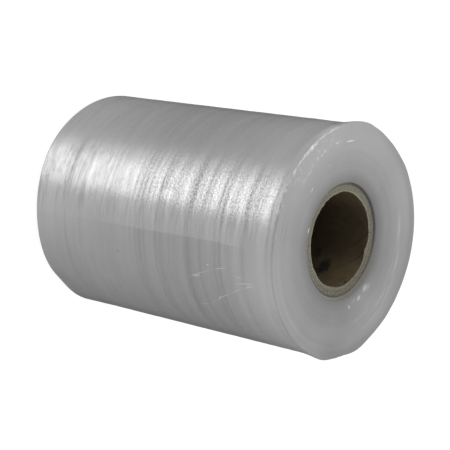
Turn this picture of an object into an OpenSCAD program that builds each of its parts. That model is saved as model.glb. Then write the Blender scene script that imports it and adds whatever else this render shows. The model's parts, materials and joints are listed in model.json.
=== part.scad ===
// A roll of clear protective film, wound tight on a spiral-wound paperboard core.
// It stands on the lower end of its core. Z runs up along the bore, and the origin is
// on the axis at the foot. The end with the flared rim is the upper one.

/* [Core] */
// Diameter of the bore, which slides onto a dispenser's spindle
bore_d = 76; // [60:0.5:80]
// Thickness of the board wall
core_wall = 7; // [4:0.5:10]
// Chamfer left by the saw on the edges of both ends
core_edge = 0.5; // [0.2:0.1:1.5]

/* [Film] */
// Width of the film, which every turn keeps and the core is cut to
film_w = 254; // [200:1:500]
// Diameter over the outermost turn
roll_d = 183; // [160:1:300]
// Slack between the core and the first turn
wind_gap = 0.05; // [0:0.05:0.3]
// How far up the core from its middle the film was wound
wind_shift = 2; // [1:0.1:6]
// How far the outermost turns have crept past the innermost ones
dish = 4; // [0:0.1:8]
// Rounding of the innermost turns' edges, over the core
lip_round = 2; // [0.5:0.1:4]
// Rounding of the outermost turns' edges
rim_round = 0.8; // [0.5:0.1:3]

/* [Flared rim] */
// How much wider the roll is at its upper rim
flare = 0.9; // [0.2:0.1:3]
// Height of the stretch that widens to the rim
flare_h = 9; // [4:0.5:16]

/* [Turns] */
// Number of bands of turns that show on each end, inside the outer band
ring_count = 7; // [3:1:9]
// How far a band of turns stands out or sinks in
ring_depth = 0.35; // [0.1:0.05:0.8]
// Width of the slope from one band to the next
ring_slope = 0.8; // [0.4:0.1:1.2]
// Width of the outer band, whose turns lie a step behind the others
edge_band = 13.5; // [8:0.5:18]
// Depth of the hoops pressed into the side by uneven winding
hoop_depth = 0.35; // [0.1:0.05:0.8]
// Width of the narrowest hoop
hoop_w = 2; // [1.8:0.1:3]
// Width of the slope on either side of a hoop
hoop_slope = 1.2; // [0.6:0.1:1.8]

/* [Hidden] */
$fn = 64;
bore_r = bore_d / 2;
core_r = bore_r + core_wall;
core_len = film_w;
first_r = core_r + wind_gap;
roll_r = roll_d / 2;
rim_r = roll_r + flare;
arc_steps = 3;
// Share of a band's width by which its edges are out of even spacing
uneven_share = 0.28;
// Reach of the end cutters past the faces that they cut
cut_over = 1;
// Height of the outermost turns' lower and upper edges
edge_low = turn_foot(roll_r) - ring_depth;
edge_top = edge_low + film_w;
// The hoops, from the foot up: where each lies as a share of film_w, and how many times hoop_w wide it is
hoops = [
    [0.136, 1.75], [0.212, 1.25], [0.49, 4], [0.54, 1],
    [0.674, 3], [0.72, 1.25], [0.785, 2.5], [0.888, 1.5]
];

// Height of the lower edge of the turn at radius r, before its band's own step
function turn_foot(r) = wind_shift + dish * (r - first_r) / (roll_r - first_r);

// Inner radius of band i, the bands being of uneven width
function band_r(i) =
    let (
        inner = first_r + lip_round,
        outer = roll_r - edge_band,
        uneven = i > 0 && i < ring_count ? uneven_share * sin(i * 105) : 0
    )
    inner + (outer - inner) * (i + uneven) / ring_count;

// How far band i has slipped along the roll
function band_slip(i) = ring_depth * sin(i * 137);

// The lower edges of all bands, from the core outwards
function band_line() = [
    for (i = [0 : ring_count - 1], side = [0, 1])
        let (r = band_r(i + side) + (0.5 - side) * ring_slope)
        [r, turn_foot(r) + band_slip(i)],
    [roll_r - edge_band + ring_slope / 2, turn_foot(roll_r - edge_band) - ring_depth]
];

// A quarter round of radius r about c, from angle a to a + 90
function quarter(c, r, a) = [
    for (i = [0 : arc_steps]) let (t = a + 90 * i / arc_steps) c + r * [cos(t), sin(t)]
];

// One hoop: four points down its slopes and along its floor, from the foot up
function hoop_line(hoop) =
    let (
        middle = edge_low + hoop[0] * film_w,
        half = hoop[1] * hoop_w / 2
    )
    [
        [roll_r, middle - half - hoop_slope / 2],
        [roll_r - hoop_depth, middle - half + hoop_slope / 2],
        [roll_r - hoop_depth, middle + half - hoop_slope / 2],
        [roll_r, middle + half + hoop_slope / 2]
    ];

// The side widening from the body to the rim, in a smooth S
function flare_line() = [
    for (i = [0 : arc_steps])
        let (share = i / arc_steps)
        [roll_r + flare * (1 - cos(180 * share)) / 2, edge_top - rim_round - flare_h * (1 - share)]
];

function raised(line) = [for (p = line) p + [0, film_w]];
function reversed(line) = [for (i = [len(line) - 1 : -1 : 0]) line[i]];

// Half section of the wound film: up the side, in over the upper end, down the bore, out under the lower end
function winding_section() = concat(
    quarter([roll_r - rim_round, edge_low + rim_round], rim_round, -90),
    [for (hoop = hoops) each hoop_line(hoop)],
    flare_line(),
    quarter([rim_r - rim_round, edge_top - rim_round], rim_round, 0),
    reversed(raised(band_line())),
    quarter([first_r + lip_round, wind_shift + film_w - lip_round], lip_round, 90),
    quarter([first_r + lip_round, wind_shift + lip_round], lip_round, 180),
    band_line()
);

// The paperboard tube, sawn off square, with a broken edge inside and outside at both ends
module core_tube() {
    color("tan")
    difference() {
        cylinder(r = core_r, h = core_len);
        translate([0, 0, -cut_over])
            cylinder(r = bore_r, h = core_len + 2 * cut_over);
        core_end_cut();
        translate([0, 0, core_len])
            mirror([0, 0, 1])
                core_end_cut();
    }
}

// What the chamfers take off the lower end of the core, as two rings of triangular section
module core_end_cut() {
    reach = core_edge + 2 * cut_over;
    rotate_extrude() {
        translate([bore_r - cut_over, -cut_over])
            polygon([[0, 0], [reach, 0], [0, reach]]);
        translate([core_r + cut_over, -cut_over])
            polygon([[0, 0], [-reach, 0], [0, reach]]);
    }
}

// The film: one long web whose turns are wound hard on each other, as one solid
module film_winding() {
    color("gainsboro")
    rotate_extrude()
        polygon(winding_section());
}

core_tube();
film_winding();
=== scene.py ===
import json
import math
import bmesh
import bpy
from mathutils import Matrix, Vector, noise


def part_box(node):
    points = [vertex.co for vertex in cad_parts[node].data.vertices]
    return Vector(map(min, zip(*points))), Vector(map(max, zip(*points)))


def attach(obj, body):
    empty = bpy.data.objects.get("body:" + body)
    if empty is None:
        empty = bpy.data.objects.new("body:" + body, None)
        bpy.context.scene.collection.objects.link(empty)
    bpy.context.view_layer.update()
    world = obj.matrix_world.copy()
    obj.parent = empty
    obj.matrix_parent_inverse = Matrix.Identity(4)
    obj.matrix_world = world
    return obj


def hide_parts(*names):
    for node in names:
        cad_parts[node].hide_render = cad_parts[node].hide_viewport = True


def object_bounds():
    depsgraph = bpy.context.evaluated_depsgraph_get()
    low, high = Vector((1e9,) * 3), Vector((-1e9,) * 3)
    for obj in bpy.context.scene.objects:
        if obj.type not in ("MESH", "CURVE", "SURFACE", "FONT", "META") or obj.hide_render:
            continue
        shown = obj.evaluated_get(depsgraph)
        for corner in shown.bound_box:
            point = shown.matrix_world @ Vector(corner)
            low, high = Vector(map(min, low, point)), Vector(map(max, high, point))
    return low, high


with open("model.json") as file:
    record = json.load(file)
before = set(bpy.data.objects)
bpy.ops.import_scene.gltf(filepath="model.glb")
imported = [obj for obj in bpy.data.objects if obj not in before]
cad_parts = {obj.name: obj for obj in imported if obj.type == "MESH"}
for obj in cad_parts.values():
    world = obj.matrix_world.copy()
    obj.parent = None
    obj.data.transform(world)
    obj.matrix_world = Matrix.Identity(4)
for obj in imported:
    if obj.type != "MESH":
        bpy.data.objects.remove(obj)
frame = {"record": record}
cad_low, cad_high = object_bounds()

# The camera. It stands above and beside the upper end of the roll and is turned a
# quarter round its own line of sight, so that the standing roll fills the picture as a
# lying one: -X is up in the picture, and the upper end of the roll is on the right.
rim_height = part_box("film_winding")[1].z
look_from = Vector((-0.2531, -0.8755, rim_height + 0.6320))
look_at = Vector((-0.0177, -0.0779, rim_height - 0.0571))
picture_up = Vector((-1, 0, 0))
sight = (look_at - look_from).normalized()
right = sight.cross(picture_up).normalized()
camera_data = bpy.data.cameras.new("camera")
camera_data.sensor_width = 36
camera_data.lens = 114.11
camera = bpy.data.objects.new("camera", camera_data)
camera.matrix_world = Matrix((right, right.cross(sight), -sight)).transposed().to_4x4()
camera.location = look_from
bpy.context.collection.objects.link(camera)
bpy.context.scene.camera = camera

# The core, a tube of brown paperboard. Narrow strips of board are glued in a steep
# spiral on a mandrel, and the tube is then sawn to length, which leaves the plies
# showing as rings on its ends and a torn, furry edge round the bore.
core_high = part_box("core_tube")[1]
core_outer = core_high.x
core_length = core_high.z
core_inner = frame["record"]["mounts"][0]["dims"]["r_mm"] / 1000
core_corner = 0.00015
core_sides = 240
cut_end_rows = 9
bore_rows = 40
# Points nearer than this to a line of the mesh lie on it
touching = 0.00001
# Edges of a plain tube longer than this run along it, and ones wider than this cross an end
long_edge = 0.1
wide_edge = 0.003


def photo_angle(x, y):
    """The angle round the roll in degrees: 0 at -X, the top of the picture, and 90 at -Y, by the camera."""
    return math.degrees(math.atan2(-y, -x)) % 360


def angle_off(angle, middle):
    """How far an angle is from another, in degrees, the short way round."""
    return (angle - middle + 180) % 360 - 180


def swelling(angle, middle, width):
    """1 at the middle angle, falling away smoothly to nothing on either side."""
    return math.exp(-((angle_off(angle, middle) / width) ** 2))


def bulge(angle, swellings):
    """How far a list of swellings moves the surface at an angle."""
    return sum(size * swelling(angle, middle, width) for middle, width, size in swellings)


def ease(share):
    """A smooth step from 0 to 1."""
    share = min(max(share, 0), 1)
    return share * share * (3 - 2 * share)


def spun_tube(inner, outer, low, high, steps):
    """A tube: its rectangular section turned once round the Z axis."""
    tube = bmesh.new()
    section_corners = ((inner, low), (outer, low), (outer, high), (inner, high))
    corners = [tube.verts.new((r, 0, z)) for r, z in section_corners]
    section = [tube.edges.new((corners[i - 1], corners[i])) for i in range(4)]
    bmesh.ops.spin(tube, geom=corners + section, axis=(0, 0, 1), cent=(0, 0, 0), steps=steps,
                   angle=math.tau, use_merge=True)
    bmesh.ops.remove_doubles(tube, verts=tube.verts, dist=1e-6)
    bmesh.ops.recalc_face_normals(tube, faces=tube.faces)
    return tube


def radius(vert):
    """How far a point of the mesh is from the axis."""
    return math.hypot(vert.co.x, vert.co.y)


def hoop_edges(tube, at_radius, at_height):
    """The ring of edges at one corner of a tube's section."""
    def on(vert):
        return abs(radius(vert) - at_radius) < touching and abs(vert.co.z - at_height) < touching
    return [e for e in tube.edges if on(e.verts[0]) and on(e.verts[1])]


def round_hoop(tube, at_radius, at_height, size, segments):
    """Rounds one corner of a tube's section, all the way round."""
    bmesh.ops.bevel(tube, geom=hoop_edges(tube, at_radius, at_height), offset=size, affect="EDGES",
                    segments=segments, profile=0.5, material=-1)


def runs_along(a, b):
    """Whether the edge between two points runs the length of the tube."""
    return abs(a.co.z - b.co.z) > long_edge


def crosses_end(a, b):
    """Whether the edge between two points crosses an end of the tube."""
    return abs(radius(a) - radius(b)) > wide_edge and not runs_along(a, b)


def cut_rows(tube, cuts, belongs):
    """Cuts the faces between two hoops into rows, along each edge that belongs."""
    edges = [e for e in tube.edges if belongs(e.verts[0], e.verts[1])]
    bmesh.ops.subdivide_edges(tube, edges=edges, cuts=cuts, use_grid_fill=True)


def finished(tube, name, material):
    """Turns a bmesh into a smooth-shaded object with one material."""
    mesh = bpy.data.meshes.new(name)
    for face in tube.faces:
        face.smooth = True
    tube.to_mesh(mesh)
    tube.free()
    mesh.materials.append(material)
    piece = bpy.data.objects.new(name, mesh)
    bpy.context.collection.objects.link(piece)
    return piece


board = spun_tube(core_inner, core_outer, 0, core_length, core_sides)
for corner_radius in (core_inner, core_outer):
    for corner_height in (0, core_length):
        round_hoop(board, corner_radius, corner_height, core_corner, 2)
cut_rows(board, cut_end_rows,
         lambda a, b: crosses_end(a, b) and min(a.co.z, b.co.z) > core_length - touching)
cut_rows(board, bore_rows,
         lambda a, b: runs_along(a, b) and max(radius(a), radius(b)) < core_inner + touching)

# Where the bore's edge is torn back or pushed in: angle, width in degrees, and how far
torn_plies = ((247, 8, -0.0023), (54, 12, 0.0006), (122, 24, -0.0007), (327, 12, -0.0004), (25, 6, 0.0003),
              (163, 15, -0.0011))
# How rough the torn edge is, how far the outer edge is worn down, and how far both reach in
fur_depth = 0.00018
worn_depth = 0.0003
edge_depth = 0.004
edge_width = 0.002
for vert in board.verts:
    angle = photo_angle(vert.co.x, vert.co.y)
    near_end = ease((vert.co.z - core_length + edge_depth) / edge_depth)
    near_edge = near_end * ease(1 - (radius(vert) - core_inner) / edge_width)
    if near_edge > 0:
        tear = bulge(angle, torn_plies)
        fur = fur_depth * noise.noise(vert.co * 900) + 2 * fur_depth * noise.noise(vert.co * 250)
        out = vert.co.xy.normalized() * (tear + fur) * near_edge
        vert.co.x += out.x
        vert.co.y += out.y
        vert.co.z -= near_edge * fur_depth * (1 + noise.noise(vert.co * 400))
    outer_edge = near_end * ease((radius(vert) - core_outer + edge_width) / edge_width)
    if outer_edge > 0:
        vert.co.z -= outer_edge * worn_depth * (1 + noise.noise(vert.co * 300))


def put(tree, kind, sockets, **choices):
    """Adds a node and returns it. sockets gives each input its value, or the output that feeds it."""
    made = tree.nodes.new("ShaderNode" + kind)
    for name, value in choices.items():
        setattr(made, name, value)
    for name, value in sockets.items():
        if isinstance(value, bpy.types.NodeSocket):
            tree.links.new(value, made.inputs[name])
        else:
            made.inputs[name].default_value = value
    return made


def calc(tree, operation, first, second=0.0):
    """One piece of arithmetic on two values."""
    return put(tree, "Math", {0: first, 1: second}, operation=operation).outputs[0]


def times(tree, first, second):
    """The product of two values."""
    return calc(tree, "MULTIPLY", first, second)


def plus(tree, first, second):
    """The sum of two values."""
    return calc(tree, "ADD", first, second)


def less(tree, first, second):
    """The first value less the second."""
    return calc(tree, "SUBTRACT", first, second)


def changed(tree, tone, mask, change):
    """A tone that changes by an amount where a mask is 1."""
    return plus(tree, tone, times(tree, mask, change))


def span(tree, value, low, high, to_low=0.0, to_high=1.0, smooth=True):
    """Maps a value from one range to another, held at the ends."""
    return put(tree, "MapRange", {0: value, 1: low, 2: high, 3: to_low, 4: to_high},
               interpolation_type="SMOOTHSTEP" if smooth else "LINEAR").outputs[0]


def mixed(tree, share, first, second):
    """A colour between two colours."""
    return put(tree, "Mix", {0: share, 6: first, 7: second}, data_type="RGBA").outputs[2]


def cloud(tree, place, scale, detail=2.0, roughness=0.5, stretch=(1, 1, 1)):
    """Noise at a place, with a scale in patches per metre."""
    place = put(tree, "Mapping", {"Vector": place, "Scale": stretch}).outputs[0]
    made = put(tree, "TexNoise", {"Vector": place, "Scale": scale, "Detail": detail, "Roughness": roughness})
    return made.outputs[0]


def new_material(name):
    """A material, its node tree, its shader, and the object's own coordinates."""
    made = bpy.data.materials.new(name)
    made.use_nodes = True
    tree = made.node_tree
    shader = tree.nodes["Principled BSDF"]
    place = put(tree, "TexCoord", {}).outputs["Object"]
    return made, tree, shader, place


def seen_along_axis(tree, place):
    """A place taken apart, laid flat on the end of the roll, and its distance from the axis."""
    apart = put(tree, "SeparateXYZ", {0: place})
    flat_place = put(tree, "CombineXYZ", {0: apart.outputs[0], 1: apart.outputs[1]}).outputs[0]
    off_axis = put(tree, "VectorMath", {0: flat_place}, operation="LENGTH").outputs["Value"]
    return apart, flat_place, off_axis


paperboard, tree, shader, place = new_material("spiral_wound_board")
apart, flat_place, off_axis = seen_along_axis(tree, place)
round_angle = calc(tree, "ARCTAN2", apart.outputs[1], apart.outputs[0])
below_end = less(tree, core_length, apart.outputs[2])
# The colours of the board and of what lies on it
grey_ply = (0.246, 0.229, 0.178, 1)
pale_ply = (0.385, 0.36, 0.288, 1)
inner_ply = (0.46, 0.43, 0.345, 1)
dark_kraft = (0.09, 0.066, 0.031, 1)
pale_kraft = (0.178, 0.136, 0.073, 1)
seam_shadow = (0.03, 0.024, 0.016, 1)
ink = (0.011, 0.013, 0.021, 1)
dirt = (0.05, 0.045, 0.035, 1)
black = (0, 0, 0, 1)
# The plies on the sawn end: thin rings of grey board, palest at the bore
plies = put(tree, "TexNoise", {"W": times(tree, off_axis, 900), "Scale": 1, "Detail": 2},
            noise_dimensions="1D").outputs[0]
fibres = cloud(tree, place, 1400, 3, 0.6)
flecks = cloud(tree, place, 650, 2)
blotches = cloud(tree, place, 140, 2)
end_colour = mixed(tree, span(tree, plies, 0.35, 0.65), grey_ply, pale_ply)
inner_band = span(tree, off_axis, core_inner + 0.0012, core_inner + 0.0022, 1, 0)
end_colour = mixed(tree, times(tree, inner_band, 0.55), end_colour, inner_ply)
# Painted shade: the end darker on its side away from the light and in a band by its outer edge, with the
# dirt between its plies
lit_way = calc(tree, "COSINE", plus(tree, round_angle, math.radians(150)))
end_light = span(tree, lit_way, -1, 1, 0.68, 1.08, False)
end_light = times(tree, end_light, span(tree, flecks, 0.3, 0.6, 0.66, 1.12))
shaded_way = calc(tree, "COSINE", plus(tree, round_angle, math.radians(240)))
shaded_band = times(tree, span(tree, off_axis, core_inner + 0.0042, core_inner + 0.0055), 0.2)
shaded_band = times(tree, shaded_band, span(tree, shaded_way, 0.5, 0.9))
end_light = times(tree, end_light, less(tree, 1, shaded_band))
end_colour = mixed(tree, end_light, black, end_colour)
# The liner inside the bore: dark kraft, with the spiral seams of its strips. Their lead is the
# length of bore in which a strip goes once round.
seam_lead = 0.26
seam_angles = (0.44, 0)
seams = []
for seam_angle in seam_angles:
    turn = calc(tree, "DIVIDE", round_angle, math.tau)
    turn = plus(tree, turn, calc(tree, "DIVIDE", below_end, seam_lead))
    turn = calc(tree, "FRACT", plus(tree, turn, 0.25 + seam_angle / math.tau + 1))
    off_seam = calc(tree, "ABSOLUTE", less(tree, turn, 0.5))
    seams.append(span(tree, off_seam, 0, 0.008, 1, 0))
seam = calc(tree, "MAXIMUM", seams[0], seams[1])
seam = times(tree, seam, span(tree, below_end, 0.004, 0.018, 0.9, 0.04))
# Painted shade: the bore darker on one side
bore_shade_way = calc(tree, "COSINE", less(tree, round_angle, math.radians(90)))
bore_colour = mixed(tree, blotches, dark_kraft, pale_kraft)
bore_colour = mixed(tree, span(tree, bore_shade_way, 0.65, 0.98, 1, 0.58), black, bore_colour)
bore_colour = mixed(tree, times(tree, seam, 0.7), bore_colour, seam_shadow)
# Smudges of ink in the bore: angle, depth below the end, half size round, half size along, strength
ink_spots = ((214, 0.0325, 0.0095, 0.0062, 0.9), (234, 0.045, 0.006, 0.005, 0.55),
             (197, 0.0026, 0.0015, 0.0014, 0.9))
smudges = []
for angle, depth, half_round, half_along, strength in ink_spots:
    way = math.radians(angle)
    middle = (-math.cos(way) * core_inner, -math.sin(way) * core_inner, 0)
    off_way = put(tree, "VectorMath", {0: flat_place, 1: middle}, operation="DISTANCE").outputs["Value"]
    off_way = calc(tree, "DIVIDE", off_way, half_round)
    off_depth = calc(tree, "DIVIDE", less(tree, below_end, depth), half_along)
    off_middle = calc(tree, "SQRT", plus(tree, times(tree, off_way, off_way),
                                         times(tree, off_depth, off_depth)))
    ragged = plus(tree, off_middle, span(tree, flecks, 0.3, 0.7, -0.4, 0.4, False))
    smudges.append(span(tree, ragged, 0.6, 1.1, strength, 0))
smudge = calc(tree, "MAXIMUM", calc(tree, "MAXIMUM", smudges[0], smudges[1]), smudges[2])
bore_colour = mixed(tree, smudge, bore_colour, ink)
in_bore = times(tree, span(tree, off_axis, core_inner + 0.0004, core_inner + 0.0007, 1, 0),
               span(tree, below_end, 0.0002, 0.0008))
colour = mixed(tree, in_bore, end_colour, bore_colour)
colour = mixed(tree, span(tree, fibres, 0.3, 0.7, 0, 0.35), colour, dirt)
tree.links.new(colour, shader.inputs["Base Color"])
shader.inputs["Roughness"].default_value = 0.85
shader.inputs["Specular IOR Level"].default_value = 0.25
relief = plus(tree, fibres, times(tree, plies, 0.8))
bump = put(tree, "Bump", {"Strength": 0.5, "Distance": 0.0003, "Height": relief})
tree.links.new(bump.outputs[0], shader.inputs["Normal"])

core_board = finished(board, "core_board", paperboard)
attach(core_board, "root")
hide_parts("core_tube")

# The winding, a web of clear polyethylene film wound hard on the core. Each turn slipped a little along
# the roll, so the end is dished and ringed, and the outermost turns flare out at the rim. Uneven tension
# shows as hoops round the side, and the web's free end lies along the side as a faint straight edge.
wind_gap = 0.00005
first_turn = core_outer + wind_gap
# How much wider the frame's roll is at its rim, and how far up the core the film was wound
frame_flare = 0.0009
shift_at_core = 0.002
roll_radius = cad_high.x - frame_flare
film_width = core_length
# How far the outermost turns have crept past the innermost ones
dish = rim_height - film_width - shift_at_core
roll_sides = 300
side_rows = 170
upper_end_rows = 56
lower_end_rows = 20
# The radius of a band of turns that has slipped up the roll, its width, and how far it slipped
shoulder = 0.077
shoulder_width = 0.007
shoulder_rise = 0.0006
# How far down the side the flare of the rim reaches, and how far it stands out all round
flare_height = 0.014
rim_flare = 0.0005
# Where the rim stands out from a true circle: angle, width in degrees, and how far
rim_swellings = ((347, 12, 0.0015), (163, 9, 0.0021), (266, 36, 0.0018), (318, 13, -0.0008),
                 (215, 22, 0.0001), (191, 8, 0.0018), (176, 7, 0.0002))
# Where the foot stands out, and where the whole side leans out of true, listed in the same way
foot_swellings = ((52, 24, 0.0014), (133, 9, -0.0012), (112, 14, 0.0005), (152, 10, 0.0004))
body_swellings = ((150, 45, 0.0005), (350, 30, -0.00035))
# Where the innermost turns lie lower on the end, listed in the same way
sunk_stretches = ((265, 55, 0.0007), (190, 45, 0.0012))
# How far the outermost turns stand up on the far side, and have slid down at the foot
rim_rise = 0.0005
foot_slide = 0.0009
# The hoops: distance from the rim, half width, and strength, above 0 where dull and below 0 where bright
hoops = ((0.0058, 0.0013, 0.8), (0.0115, 0.003, -0.6), (0.0205, 0.0012, 0.3), (0.029, 0.002, 0.85),
         (0.0355, 0.003, -0.7), (0.0475, 0.002, -0.45), (0.0513, 0.0016, 0.7), (0.0562, 0.0013, 0.6),
         (0.0625, 0.0035, -0.55), (0.0713, 0.0013, 0.6), (0.0755, 0.0018, -0.4), (0.0842, 0.0032, 1.0),
         (0.093, 0.0035, -0.45), (0.0985, 0.001, 0.2), (0.1035, 0.0012, 0.25), (0.107, 0.0018, -0.4),
         (0.1135, 0.0012, 0.45), (0.1175, 0.0014, 0.75), (0.121, 0.0013, -0.45), (0.126, 0.0016, -0.4),
         (0.130, 0.0009, 0.5), (0.135, 0.0011, 0.75), (0.1395, 0.001, 0.65), (0.1455, 0.0008, 0.35),
         (0.149, 0.002, -0.3), (0.157, 0.003, -0.25), (0.1655, 0.001, 0.35), (0.172, 0.0012, 0.45),
         (0.179, 0.001, 0.25), (0.196, 0.004, -0.25), (0.203, 0.0016, 0.55), (0.210, 0.001, 0.3),
         (0.2205, 0.0022, 1.0), (0.238, 0.006, -0.35))
hoop_depth = 0.0001
narrowest_hoop = 0.0015
# The unevenness of the side, of the rim and of single turns: how deep its slow waves and its ripples are
side_waves = 0.00012
side_ripples = 0.00006
rim_waves = 0.0003
rim_ripples = 0.00012
turn_waves = 0.0003
# The radius outside which the turns follow the swellings
inner_turns = 0.062
foot_height = 0.03


def slip(r):
    """How far the turn at a radius has slipped up the roll."""
    share = (r - first_turn) / (roll_radius - first_turn)
    rings = 0.00012 * noise.noise(Vector((r * 900, 0, 0))) + 0.0002 * noise.noise(Vector((r * 260, 5, 0)))
    rise = shoulder_rise * math.exp(-(((r - shoulder) / shoulder_width) ** 2))
    return shift_at_core + dish * share + rise + rings * ease(share * 8) * ease((1 - share) * 8)


film = spun_tube(first_turn, roll_radius, 0, film_width, roll_sides)
# How far the edges of the innermost and outermost turns are rounded: radius, height, size, segments
rounded_edges = ((first_turn, 0, 0.002, 3), (first_turn, film_width, 0.0009, 3),
                 (roll_radius, 0, 0.0008, 3), (roll_radius, film_width, 0.0004, 2))
for edge_radius, edge_height, size, segments in rounded_edges:
    round_hoop(film, edge_radius, edge_height, size, segments)
cut_rows(film, side_rows,
         lambda a, b: runs_along(a, b) and min(radius(a), radius(b)) > roll_radius - touching)
cut_rows(film, upper_end_rows,
         lambda a, b: crosses_end(a, b) and min(a.co.z, b.co.z) > film_width - touching)
cut_rows(film, lower_end_rows,
         lambda a, b: crosses_end(a, b) and max(a.co.z, b.co.z) < touching)
for vert in film.verts:
    r = radius(vert)
    angle = photo_angle(vert.co.x, vert.co.y)
    across = vert.co.xy.normalized()
    round_place = Vector((across.x, across.y, 0))
    along = vert.co.z
    from_rim = film_width - along
    move = 0
    if r > roll_radius - 0.0005:
        dents = 0
        for at, half, strength in hoops:
            dents += strength * math.exp(-(((from_rim - at) / max(half, narrowest_hoop)) ** 2))
        move -= hoop_depth * min(max(dents, -0.5), 1)
        move += side_waves * noise.noise(Vector((across.x * 1.2, across.y * 1.2, along * 60)))
        move += side_ripples * noise.noise(Vector((across.x * 3, across.y * 3, along * 250)))
    outward = ease((r - inner_turns) / (roll_radius - inner_turns))
    rim_share = ease(1 - from_rim / flare_height) * outward
    flare = rim_flare + bulge(angle, rim_swellings)
    flare += rim_waves * noise.noise(round_place * 7) + rim_ripples * noise.noise(round_place * 30)
    move += rim_share * flare
    move += ease(1 - along / foot_height) * outward * bulge(angle, foot_swellings)
    move += (1 - rim_share) * outward * bulge(angle, body_swellings)
    lift = slip(min(r, roll_radius))
    if from_rim < 0.004:
        slipped = noise.noise(round_place * 3 + Vector((0, 0, r * 40)))
        lift += turn_waves * slipped * ease((r - first_turn) / 0.01)
    if from_rim < 0.01:
        lift += rim_rise * swelling(angle, 264, 42) * ease((r - 0.082) / 0.009)
        lift -= bulge(angle, sunk_stretches) * ease(1 - (r - first_turn) / 0.006)
    if along < 0.01:
        lift -= foot_slide * swelling(angle, 62, 45) * ease((r - 0.08) / 0.01)
    vert.co.x += across.x * move
    vert.co.y += across.y * move
    vert.co.z += lift

clear_film, tree, shader, place = new_material("wound_clear_film")
apart, flat_place, off_axis = seen_along_axis(tree, place)
from_rim = less(tree, rim_height, apart.outputs[2])
on_end = calc(tree, "MAXIMUM", span(tree, off_axis, roll_radius - 0.0025, roll_radius - 0.0012, 1, 0),
              span(tree, from_rim, 0.0004, 0.0009, 1, 0))
turned = calc(tree, "ARCTAN2", apart.outputs[1], apart.outputs[0])
turned = plus(tree, calc(tree, "DIVIDE", turned, math.radians(1)), 180)
# The side laid out flat: the way round from the free end of the web, and the distance from the rim
tail_angle = 85.5
past_tail_share = calc(tree, "DIVIDE", less(tree, turned, tail_angle - 360), 360)
round_share = calc(tree, "FRACT", past_tail_share)
way_round = times(tree, round_share, math.tau * roll_radius)
laid_flat = put(tree, "CombineXYZ", {0: way_round, 1: from_rim}).outputs[0]


def near_angle(tree, middle, half, held=0):
    """1 within held degrees of an angle round the roll, falling smoothly to 0 at half degrees off it."""
    off = less(tree, calc(tree, "MODULO", plus(tree, turned, 540 - middle), 360), 180)
    return span(tree, calc(tree, "ABSOLUTE", off), held, half, 1, 0)


def bell(tree, value, middle, half):
    """1 where a value is at the middle, falling away smoothly on either side."""
    off = calc(tree, "DIVIDE", less(tree, value, middle), half)
    return calc(tree, "EXPONENT", times(tree, times(tree, off, off), -1))


def spot_on(tree, where, middle, turn, half_length, half_width):
    """1 inside a slim ellipse on a flat layout, with a soft edge."""
    sockets = {"Vector": where, "Location": (middle[0], middle[1], 0), "Rotation": (0, 0, turn),
               "Scale": (half_length, half_width, 1)}
    inside = put(tree, "Mapping", sockets, vector_type="TEXTURE").outputs[0]
    off_middle = put(tree, "VectorMath", {0: inside}, operation="LENGTH").outputs["Value"]
    return span(tree, off_middle, 0.3, 1, 1, 0)


def on_side(angle, along):
    """Where an angle and a distance from the rim lie on the side laid out flat."""
    return Vector((math.radians(angle - tail_angle) * roll_radius, along))


def most(tree, masks):
    """The greatest of several masks."""
    top = masks[0]
    for mask in masks[1:]:
        top = calc(tree, "MAXIMUM", top, mask)
    return top


# Streaks and hoops run round the side. The gloss of the half by the rim is broken up by fine
# creases that lie a little across the hoops, and that of the far half by soft patches.
streaks = cloud(tree, place, 1, 3, 0.6, (12, 12, 420))
broad = cloud(tree, place, 1, 2, 0.5, (12, 12, 90))
hoop_marks = 0.0
for at, half, strength in hoops:
    hoop_marks = put(tree, "Math", {0: bell(tree, from_rim, at, half), 1: strength, 2: hoop_marks},
                     operation="MULTIPLY_ADD").outputs[0]
hoop_marks = times(tree, hoop_marks, span(tree, cloud(tree, place, 16), 0.35, 0.6, 0.65, 1))
leaning = put(tree, "Mapping", {"Vector": laid_flat, "Rotation": (0, 0, math.radians(5))}).outputs[0]
creases = cloud(tree, leaning, 1, 2, 0.6, (500, 660, 1))
patches = cloud(tree, laid_flat, 1, 4, 0.6, (110, 220, 1))
by_rim = span(tree, from_rim, 0.1, 0.19, 1, 0)
mottle = put(tree, "Mix", {0: by_rim, 2: span(tree, patches, 0.34, 0.66, 0.24, 0.86, False),
                           3: span(tree, creases, 0.39, 0.61, 0, 1, False)}).outputs[0]
strips = span(tree, cloud(tree, laid_flat, 1, 2, 0.5, (42, 430, 1)), 0.36, 0.64, 0, 1, False)
waves = cloud(tree, laid_flat, 1, 2, 0.5, (38, 45, 1))
gloss_way = near_angle(tree, 58, 34)
flash = spot_on(tree, laid_flat, on_side(67 + 360, 0.1105), math.pi / 2, 0.009, 0.0052)
rim_haze = span(tree, from_rim, 0.003, 0.009, 1, 0)

# The free end of the web: a step in tone along a nearly straight line, lost towards the far end
tail_line = plus(tree, span(tree, from_rim, 0, 0.2, tail_angle - 0.6, tail_angle + 1.4, False),
                 span(tree, from_rim, 0.049, 0.053, 0.5, 0))
past_tail = less(tree, turned, tail_line)
loose_end = span(tree, past_tail, -0.35, 0.2, 1, 0)
loose_end = times(tree, loose_end, span(tree, past_tail, -22, -1, 0, 1))
loose_end = times(tree, loose_end, span(tree, from_rim, 0.12, 0.21, 1, 0.25))
loose_end = times(tree, loose_end, span(tree, from_rim, 0.02, 0.05, 0.2, 1))

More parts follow.
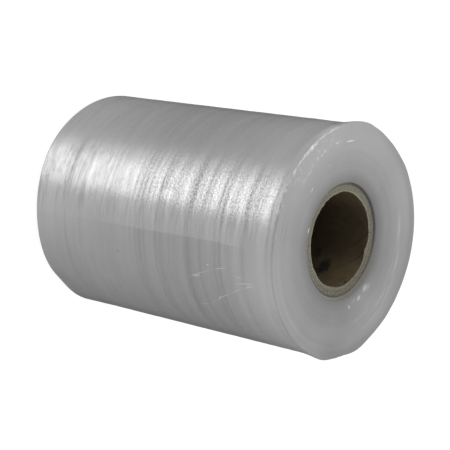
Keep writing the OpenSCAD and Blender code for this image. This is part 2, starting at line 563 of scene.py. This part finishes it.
# Scratches in the side: their two ends as angle and distance from the rim, and half their width
scratches = ((104.9, 0.081, 103.9, 0.0722, 0.0007), (106.7, 0.089, 99.1, 0.058, 0.00025),
             (99.1, 0.058, 96.8, 0.0435, 0.00035), (104.5, 0.0404, 102.3, 0.0167, 0.00035),
             (100.3, 0.036, 101.1, 0.030, 0.0004), (102.9, 0.0176, 106.5, 0.032, 0.0003),
             (106.5, 0.032, 110.5, 0.045, 0.0003), (110.5, 0.045, 114.7, 0.0572, 0.00035),
             (113.4, 0.0555, 115.5, 0.0585, 0.0009), (115, 0.058, 120.5, 0.071, 0.0002),
             (120.5, 0.0712, 121.9, 0.0835, 0.0003), (97.3, 0.0646, 97.7, 0.0626, 0.0006))
strokes = []
for angle_a, along_a, angle_b, along_b, half_width in scratches:
    start = on_side(angle_a, along_a)
    end = on_side(angle_b, along_b)
    run = end - start
    strokes.append(spot_on(tree, laid_flat, (start + end) / 2, math.atan2(run.y, run.x),
                           run.length / 2 + half_width, half_width))
scratched = most(tree, strokes)
# Specks of dirt: angle, distance from the rim, turn, half length, half width. An angle short of the
# loose end is counted one turn further on.
specks = ((63.3 + 360, 0.1603, 1.57, 0.0042, 0.0006), (100.4, 0.1605, 0.7, 0.0016, 0.0009),
          (3 + 360, 0.0085, 1.57, 0.006, 0.003))
grime = most(tree, [spot_on(tree, laid_flat, on_side(angle, along), turn, half_length, half_width)
                    for angle, along, turn, half_length, half_width in specks])

side_tone = plus(tree, span(tree, streaks, 0.3, 0.7, 0.387, 0.409, False),
                 span(tree, broad, 0.3, 0.7, -0.013, 0.013))
# The hoops darken the side most in and under the highlight: partly their own tone, partly a painted part of
# the reflection
shown = times(tree, span(tree, turned, 35, 65, 0.3, 1.6), span(tree, turned, 84, 112, 1, 0.1875))
side_tone = changed(tree, side_tone, times(tree, hoop_marks, shown), -0.035)
# Paler where the web's edges show through by the rim
by_low_rim = span(tree, from_rim, 0.004, 0.06, 1, 0, False)
by_low_rim = times(tree, by_low_rim, span(tree, turned, 68, 112))
by_low_rim = times(tree, by_low_rim, span(tree, turned, 240, 350, 1, 0))
side_tone = changed(tree, side_tone, by_low_rim, 0.19)
# Painted highlight: a pale band along the rim at the top
top_rim_highlight = times(tree, span(tree, from_rim, 0.0035, 0.007, 1, 0), near_angle(tree, 14, 16))
side_tone = changed(tree, side_tone, top_rim_highlight, 0.1)
# Painted shade: the side darker along the middle of the top, and a little along the whole top
painted_top_shade = times(tree, bell(tree, from_rim, 0.125, 0.085), near_angle(tree, 340, 76, 54))
side_tone = changed(tree, side_tone, painted_top_shade, -0.058)
on_top = times(tree, near_angle(tree, 340, 74, 46), span(tree, from_rim, 0.03, 0.09))
side_tone = changed(tree, side_tone, on_top, -0.016)
# Painted highlight: streaks of the highlight's tail running down towards the web's free end
highlight_tail_streaks = times(tree, less(tree, strips, 0.5), near_angle(tree, 76, 14))
side_tone = changed(tree, side_tone, highlight_tail_streaks, 0.11)
by_loose_end = times(tree, bell(tree, from_rim, 0.1, 0.055), near_angle(tree, 87, 20))
side_tone = changed(tree, side_tone, by_loose_end, -0.026)
by_foot = times(tree, span(tree, from_rim, 0.18, 0.225), near_angle(tree, 86, 26))
side_tone = changed(tree, side_tone, by_foot, 0.05)
side_tone = changed(tree, side_tone, loose_end, 0.068)
side_tone = plus(tree, side_tone, span(tree, from_rim, 0.008, 0.05, 0.03, 0))
# Painted shade: darker bands along the top edge of the side and along its low side
side_tone = changed(tree, side_tone, near_angle(tree, 356, 10, 3), -0.045)
side_tone = changed(tree, side_tone, near_angle(tree, 158, 19, 9), -0.085)
side_tone = changed(tree, side_tone, scratched, 0.36)
side_tone = times(tree, side_tone, less(tree, 1, times(tree, grime, 0.4)))

# The end: hazy white edges of the turns, darker over the brown core and towards the low side
haze = cloud(tree, place, 26, 3, 0.55)
end_tone = plus(tree, span(tree, off_axis, first_turn, first_turn + 0.012, 0.22, 0.372, False),
                span(tree, off_axis, first_turn + 0.012, 0.078, 0, 0.068))
# Painted light and shade: the end lighter towards the top and darker towards the low side
lit_side = calc(tree, "COSINE", times(tree, less(tree, turned, 12), math.radians(1)))
end_tone = times(tree, end_tone, span(tree, lit_side, -1, 1, 0.87, 1.18, False))
end_tone = plus(tree, end_tone, span(tree, haze, 0.3, 0.7, -0.018, 0.018))
ring_noise = put(tree, "TexNoise", {"W": times(tree, off_axis, 1100), "Scale": 1, "Detail": 3},
                 noise_dimensions="1D").outputs[0]
end_tone = plus(tree, end_tone, span(tree, ring_noise, 0.3, 0.7, -0.006, 0.006))
ringed = times(tree, less(tree, ring_noise, 0.5), near_angle(tree, 140, 110))
end_tone = plus(tree, end_tone, times(tree, times(tree, ringed, haze), 0.09))
# Lighter and darker stretches: middle angle, reach in degrees, radius where they start and radius
# where they are full, tone
stretches = ((208, 33, 0.047, 0.053, 0.06), (170, 18, 0.07, 0.084, -0.045), (28, 42, 0.045, 0.07, 0.02),
             (28, 48, 0.075, 0.08, 0.03), (110, 62, 0.08, 0.084, 0.045), (150, 90, 0.062, 0.047, 0.035),
             (295, 60, 0.062, 0.047, -0.02), (290, 90, 0.06, 0.07, 0.03), (180, 62, 0.0475, 0.0455, 0.12),
             (210, 78, 0.084, 0.0905, -0.08), (295, 62, 0.084, 0.0905, -0.075))
for middle, reach, starts, full, change in stretches:
    share = times(tree, span(tree, off_axis, starts, full), near_angle(tree, middle, reach))
    end_tone = changed(tree, end_tone, share, change)
# Turns that stand out as dark or pale rings, partly painted shade and sheen on the small steps
# between turns: radius, half width, middle angle, reach in degrees, tone
ring_marks = ((0.0782, 0.0005, 76, 16, -0.09), (0.0828, 0.0005, 72, 14, -0.07),
              (0.0914, 0.001, 72, 30, -0.12), (0.0775, 0.0005, 212, 30, -0.05),
              (0.0872, 0.0004, 100, 45, -0.035), (0.0845, 0.0005, 128, 40, 0.04),
              (0.0815, 0.0004, 150, 30, -0.03), (0.0737, 0.0017, 268, 17, 0.12),
              (0.0764, 0.0014, 247, 15, 0.11), (0.0748, 0.0007, 222, 14, 0.09),
              (0.0788, 0.0009, 229, 14, 0.1), (0.0797, 0.0014, 207, 18, 0.05),
              (0.0715, 0.0007, 240, 16, 0.05), (0.0665, 0.0006, 214, 20, 0.06),
              (0.0695, 0.0009, 200, 16, 0.05), (0.0735, 0.0006, 195, 16, -0.03),
              (0.0845, 0.0007, 240, 40, -0.04), (0.0885, 0.0008, 268, 40, -0.03))
for ring_radius, half, middle, reach, change in ring_marks:
    mark = times(tree, bell(tree, off_axis, ring_radius, half), near_angle(tree, middle, reach))
    end_tone = changed(tree, end_tone, mark, change)
# Fine white creases in the upper outer band
creased = span(tree, cloud(tree, place, 260, 3, 0.6, (1, 1, 0.2)), 0.5, 0.72)
creased = times(tree, creased, span(tree, off_axis, 0.072, 0.078))
creased = times(tree, creased, near_angle(tree, 33, 38))
end_tone = changed(tree, end_tone, creased, 0.14)
# Painted highlights where creases glint white on the end: angle, radius, lean in degrees, half their
# length and width, strength
glints = ((357.5, 0.0781, 2, 0.0068, 0.0008, 0.9), (9.6, 0.0797, 0, 0.0035, 0.0007, 0.6),
          (21.3, 0.0797, 10, 0.0024, 0.0012, 0.4), (24.5, 0.0786, -6, 0.0022, 0.0012, 0.35),
          (28.5, 0.0794, 8, 0.002, 0.0014, 0.25), (38.9, 0.0766, -8, 0.0024, 0.0014, 0.38),
          (44.1, 0.0776, 4, 0.0018, 0.0012, 0.3), (42.1, 0.0625, 12, 0.0032, 0.0008, 0.7),
          (18.1, 0.0649, 0, 0.0018, 0.0008, 0.3), (70.7, 0.0459, 0, 0.0032, 0.0018, 1),
          (63, 0.0895, 0, 0.0016, 0.0008, 0.5), (77.5, 0.0895, 0, 0.003, 0.0007, 0.3),
          (214.1, 0.0533, 20, 0.0046, 0.0028, 0.5), (217.5, 0.0552, 10, 0.0045, 0.0028, 0.22),
          (203.2, 0.0551, 14, 0.0036, 0.0022, 0.52), (189.2, 0.0561, 0, 0.0022, 0.002, 0.5),
          (196, 0.0538, 10, 0.004, 0.0014, 0.2), (29.6, 0.0903, 9, 0.0036, 0.0017, 1),
          (33.2, 0.0902, 6, 0.0042, 0.0008, 0.9), (26.6, 0.0903, -5, 0.0024, 0.0013, 0.8),
          (37, 0.0908, 3, 0.003, 0.0008, 0.7), (46.6, 0.0906, 4, 0.003, 0.0008, 0.6),
          (14, 0.0907, 3, 0.005, 0.0006, 0.5))
sparks = []
for angle, spark_radius, lean, half_length, half_width, strength in glints:
    way = math.radians(angle)
    middle = (-math.cos(way) * spark_radius, -math.sin(way) * spark_radius)
    turn = way + math.pi / 2 + math.radians(lean)
    spark = spot_on(tree, flat_place, middle, turn, half_length, half_width)
    sparks.append(times(tree, spark, strength))
glinting = times(tree, most(tree, sparks), span(tree, from_rim, 0.0052, 0.006, 1, 0))
# Painted highlights where the rim's corner glints in dashes: middle angle, reach in degrees, strength
dashes = ((30, 26, 0.4), (12, 7, 0.5), (20, 2.5, 0.6), (29.5, 4, 1), (35.6, 2.2, 0.9), (40.5, 2.6, 0.6),
          (45.2, 3, 0.85), (52, 2.5, 0.5), (56.1, 1.6, 0.6), (61, 3, 0.35), (66, 2.5, 0.4))
dashed = most(tree, [times(tree, near_angle(tree, middle, reach), strength)
                     for middle, reach, strength in dashes])
dashed = times(tree, dashed, span(tree, cloud(tree, place, 420, 2), 0.35, 0.6, 0.3, 1))
at_corner = span(tree, off_axis, 0.0903, 0.0912)
at_corner = times(tree, at_corner, span(tree, from_rim, 0.0004, 0.0012, 1, 0))
glinting = calc(tree, "MAXIMUM", glinting, times(tree, dashed, at_corner))

tone = put(tree, "Mix", {0: on_end, 2: side_tone, 3: end_tone}).outputs[0]
# Painted shade in the gap round the core, darkest between the top and the far side
gap_way = calc(tree, "COSINE", times(tree, less(tree, turned, 308), math.radians(1)))
gap_shade = span(tree, off_axis, first_turn + 0.0002, first_turn + 0.0009, 1, 0)
gap_shade = times(tree, gap_shade, span(tree, gap_way, 0.3, 0.9, 0, 0.3))
tone = times(tree, tone, less(tree, 1, gap_shade))
# The painted glints lighten the tone
tone = plus(tree, tone, times(tree, glinting, 0.5))
colour = put(tree, "CombineColor", {0: tone, 1: tone, 2: tone}).outputs[0]
# The board's colour over the first turns on the low side: the board seen through the film, and a
# painted reflection of it in the film's inner wall
board_seen_in_film = (0.2, 0.187, 0.145, 1)
spread = plus(tree, off_axis, span(tree, cloud(tree, place, 420, 2), 0.3, 0.7, -0.0008, 0.0008, False))
spread = span(tree, spread, first_turn + 0.0026, first_turn + 0.0046, 0.9, 0)
spread = times(tree, spread, near_angle(tree, 194, 66))
colour = mixed(tree, spread, colour, board_seen_in_film)
tree.links.new(colour, shader.inputs["Base Color"])
strip_gloss = span(tree, strips, 0, 1, 0.58, 0.36, False)
side_gloss = put(tree, "Mix", {0: gloss_way, 2: 0.47, 3: strip_gloss}).outputs[0]
side_gloss = changed(tree, side_gloss, hoop_marks, 0.12)
gloss = put(tree, "Mix", {0: on_end, 2: side_gloss, 3: 0.42}).outputs[0]
tree.links.new(gloss, shader.inputs["Roughness"])
shader.inputs["Specular IOR Level"].default_value = 0.4
coat = plus(tree, times(tree, mottle, 0.52), times(tree, strips, 0.18))
coat = changed(tree, coat, hoop_marks, span(tree, by_rim, 0, 1, -0.3, -0.48, False))
coat = changed(tree, coat, flash, 0.3)
coat = plus(tree, coat, span(tree, from_rim, 0.1, 0.16, 0.15, 0.25))
coat = plus(tree, coat, span(tree, from_rim, 0.19, 0.225, 0, -0.15))
coat = times(tree, coat, less(tree, 1, times(tree, rim_haze, 0.6)))
coat = put(tree, "Mix", {0: on_end, 2: coat, 3: 0.08}).outputs[0]
tree.links.new(span(tree, coat, 0, 1, 0, 1, False), shader.inputs["Coat Weight"])
shader.inputs["Coat Roughness"].default_value = 0.27
shader.inputs["Coat IOR"].default_value = 2.3
side_relief = plus(tree, times(tree, streaks, 0.04), times(tree, mottle, 0.12))
side_relief = plus(tree, side_relief, times(tree, broad, 0.4))
side_relief = plus(tree, side_relief, times(tree, waves, 3.6))
end_relief = times(tree, ring_noise, 0.25)
relief = put(tree, "Mix", {0: on_end, 2: side_relief, 3: end_relief}).outputs[0]
bump = put(tree, "Bump", {"Strength": 0.35, "Distance": 0.0006, "Height": relief})
tree.links.new(bump.outputs[0], shader.inputs["Normal"])

film_turns = finished(film, "film_turns", clear_film)
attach(film_turns, "root")
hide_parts("film_winding")

# The studio: a pale shooting table that lets the light of a tall soft panel through from
# below, a soft light over the roll, and an even grey room.
scene = bpy.context.scene
scene.view_settings.view_transform = "Standard"
table = bmesh.new()
bmesh.ops.create_grid(table, x_segments=1, y_segments=1, size=8)
table_paint, tree, shader, place = new_material("pale_table")
shader.inputs["Base Color"].default_value = (0.25, 0.25, 0.25, 1)
shader.inputs["Roughness"].default_value = 1
shader.inputs["Specular IOR Level"].default_value = 0
seen = put(tree, "LightPath", {}).outputs["Is Camera Ray"]
glow = times(tree, seen, 0.9)
tree.links.new(glow, shader.inputs["Emission Strength"])
shader.inputs["Emission Color"].default_value = (1, 1, 1, 1)
table_top = finished(table, "table_top", table_paint)
table_top.visible_shadow = False
table_top.visible_glossy = False


def soft_light(name, place, aim, width, height, strength):
    """A rectangular soft light of a given radiance."""
    data = bpy.data.lights.new(name, "AREA")
    data.shape = "RECTANGLE"
    data.size = width
    data.size_y = height
    data.energy = strength * width * height * math.pi
    lamp = bpy.data.objects.new(name, data)
    lamp.location = place
    lamp.rotation_euler = (Vector(aim) - Vector(place)).to_track_quat("-Z", "Y").to_euler()
    lamp.visible_camera = False
    bpy.context.collection.objects.link(lamp)
    return lamp


panel_far = 1.2
for name, degrees, width, strength in (("panel_below", 50, 0.76, 4.8), ("panel_beside", 25.5, 0.32, 1.5)):
    way = math.radians(degrees)
    panel_place = Vector((-math.cos(way) * panel_far, -math.sin(way) * panel_far, -1.0))
    soft_light(name, panel_place, (0, 0, -1.0), width, 1.5, strength)
soft_light("light_over", (-1.15, -0.08, 0.72), (0, 0, 0.2), 0.5, 0.5, 2.4)

world = bpy.data.worlds.new("grey_room")
scene.world = world
world.use_nodes = True
tree = world.node_tree
background = tree.nodes["Background"]
ray = put(tree, "TexCoord", {}).outputs["Generated"]
above = span(tree, put(tree, "SeparateXYZ", {0: ray}).outputs[2], -0.25, 0.25)
fill_way = math.radians(130)
fill_side = put(tree, "VectorMath", {0: ray, 1: (-math.cos(fill_way), -math.sin(fill_way), 0)},
                operation="DOT_PRODUCT").outputs["Value"]
below = span(tree, fill_side, -0.1, 0.8, 0.14, 0.5)
glow = put(tree, "Mix", {0: above, 2: below, 3: 0.64}).outputs[0]
seen = put(tree, "LightPath", {}).outputs["Is Camera Ray"]
tree.links.new(put(tree, "Mix", {0: seen, 2: glow, 3: 1.0}).outputs[0], background.inputs["Strength"])
background.inputs["Color"].default_value = (1, 1, 1, 1)
